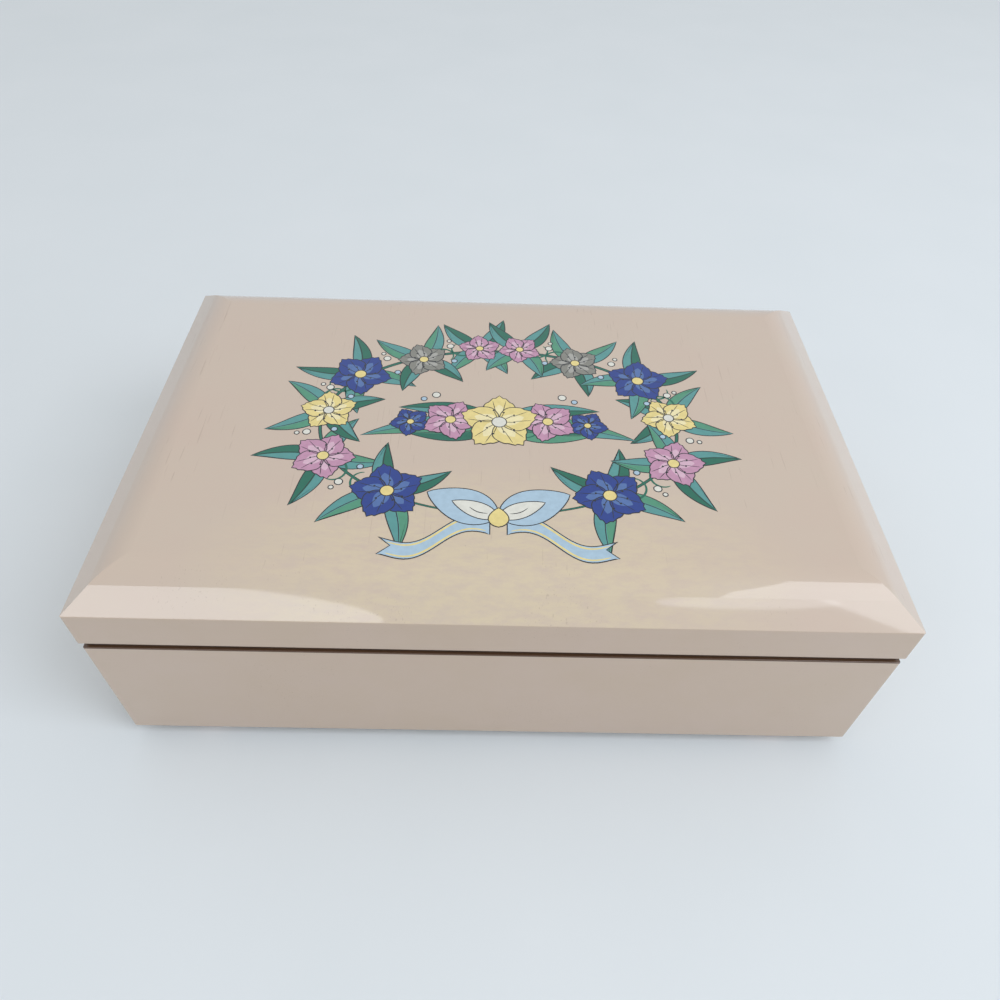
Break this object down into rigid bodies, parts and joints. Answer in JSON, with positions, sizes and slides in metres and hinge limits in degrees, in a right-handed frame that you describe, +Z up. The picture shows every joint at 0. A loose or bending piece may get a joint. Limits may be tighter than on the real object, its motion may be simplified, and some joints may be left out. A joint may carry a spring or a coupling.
{
  "type": "musical jewelry box",
  "caption": "Lacquered rectangular box with a hinged pillow-top lid, mirror, velvet-lined compartments, ring rolls and a key-wound comb-and-cylinder musical movement.",
  "frame": {"origin": "centre of the overall box, on the surface that the feet stand on", "axes": "+X along the length to the right, the front faces -Y with the hinge at +Y, +Z up"},
  "size_m": [0.2, 0.13, 0.065],
  "materials": {
    "lacquered_wood": "peach-beige lacquer, high gloss, over fibreboard",
    "bottom_board": "painted, satin",
    "dark_lip": "dark brown stain, satin",
    "foot_lacquer": "pinkish lacquer, gloss",
    "hinge_brass": "polished",
    "velvet": "burgundy velvet flock",
    "backing_card": "matte",
    "mirror": "silvered glass",
    "bare_wood": "unfinished",
    "clear_cover": "clear moulded plastic",
    "zinc_bed": "cast, lightly polished",
    "spring_steel": "blued to bright, brushed",
    "movement_steel": "nickel plated",
    "movement_brass": "machined"
  },
  "bodies": {
    "base": {"base_front_wall": "lacquered_wood", "base_back_wall": "lacquered_wood", "base_left_wall": "lacquered_wood", "base_right_wall": "lacquered_wood", "bottom_panel": "bottom_board", "rim_frame": "dark_lip", "front_left_foot": "foot_lacquer", "front_right_foot": "foot_lacquer", "rear_left_foot": "foot_lacquer", "rear_right_foot": "foot_lacquer", "left_hinge_base_leaf": "hinge_brass", "right_hinge_base_leaf": "hinge_brass", "hinge_pins": "hinge_brass", "hinge_base_screws": "hinge_brass", "wall_lining": "velvet", "floor_pads": "velvet", "long_divider": "velvet", "front_left_divider": "velvet", "front_right_divider": "velvet", "ring_divider": "velvet", "movement_divider": "velvet", "ring_riser": "velvet", "ring_roll_1": "velvet", "ring_roll_2": "velvet", "ring_roll_3": "velvet", "ring_roll_4": "velvet", "key_well_block": "bare_wood", "movement_platform": "bare_wood", "movement_cover": "clear_cover", "movement_screws": "movement_steel", "bedplate": "zinc_bed", "spring_housing": "movement_steel", "mainspring": "spring_steel", "comb": "spring_steel", "bed_screws": "movement_steel", "governor_frame": "zinc_bed", "plunger_spring": "spring_steel"},
    "lid": {"lid_top": "lacquered_wood", "lid_front_rail": "lacquered_wood", "lid_back_rail": "lacquered_wood", "lid_left_rail": "lacquered_wood", "lid_right_rail": "lacquered_wood", "mirror_backing": "backing_card", "mirror": "mirror", "mirror_surround": "velvet", "left_hinge_lid_leaf": "hinge_brass", "right_hinge_lid_leaf": "hinge_brass", "hinge_lid_screws": "hinge_brass"},
    "cylinder": {"pinned_cylinder": "movement_brass", "cylinder_arbor": "movement_steel", "cylinder_gear": "movement_brass", "drive_pinion": "movement_brass"},
    "winder": {"winding_key": "movement_steel", "winding_arbor": "movement_steel", "great_wheel": "movement_brass"},
    "governor_wheel": {"worm_wheel": "movement_brass", "governor_pinion": "movement_steel"},
    "fan": {"fan_worm": "movement_steel", "air_fan": "movement_brass"},
    "stop_plunger": {"stop_plunger": "spring_steel"}
  },
  "joints": [
    {"name": "lid_hinge", "type": "hinge", "parent": "base", "child": "lid", "pos_m": [0, 0.064, 0.0456], "axis": [-1, 0, 0], "range_deg": [0, 95]},
    {"name": "cylinder_spin", "type": "hinge", "parent": "base", "child": "cylinder", "pos_m": [0.0497, 0.0362, 0.0283], "axis": [1, 0, 0], "continuous": true},
    {"name": "winder_turn", "type": "hinge", "parent": "base", "child": "winder", "pos_m": [0.0497, 0.0362, 0.0207], "axis": [0, 0, 1], "continuous": true},
    {"name": "governor_wheel_spin", "type": "hinge", "parent": "base", "child": "governor_wheel", "pos_m": [0.0497, 0.04445, 0.0283], "axis": [1, 0, 0], "continuous": true},
    {"name": "fan_spin", "type": "hinge", "parent": "base", "child": "fan", "pos_m": [0.0849, 0.04865, 0.0207], "axis": [0, 0, 1], "continuous": true},
    {"name": "plunger_slide", "type": "slide", "parent": "base", "child": "stop_plunger", "axis": [0, 0, 1], "range_m": [0, 0.0015], "deforming": ["plunger_spring"]}
  ],
  "couplings": [
    {"joint": "winder_turn", "follows": "cylinder_spin", "ratio": 0.22727},
    {"joint": "governor_wheel_spin", "follows": "cylinder_spin", "ratio": -4},
    {"joint": "fan_spin", "follows": "cylinder_spin", "ratio": 40},
    {"joint": "plunger_slide", "follows": "lid_hinge", "m_per_rad": 0.00090458}
  ]
}
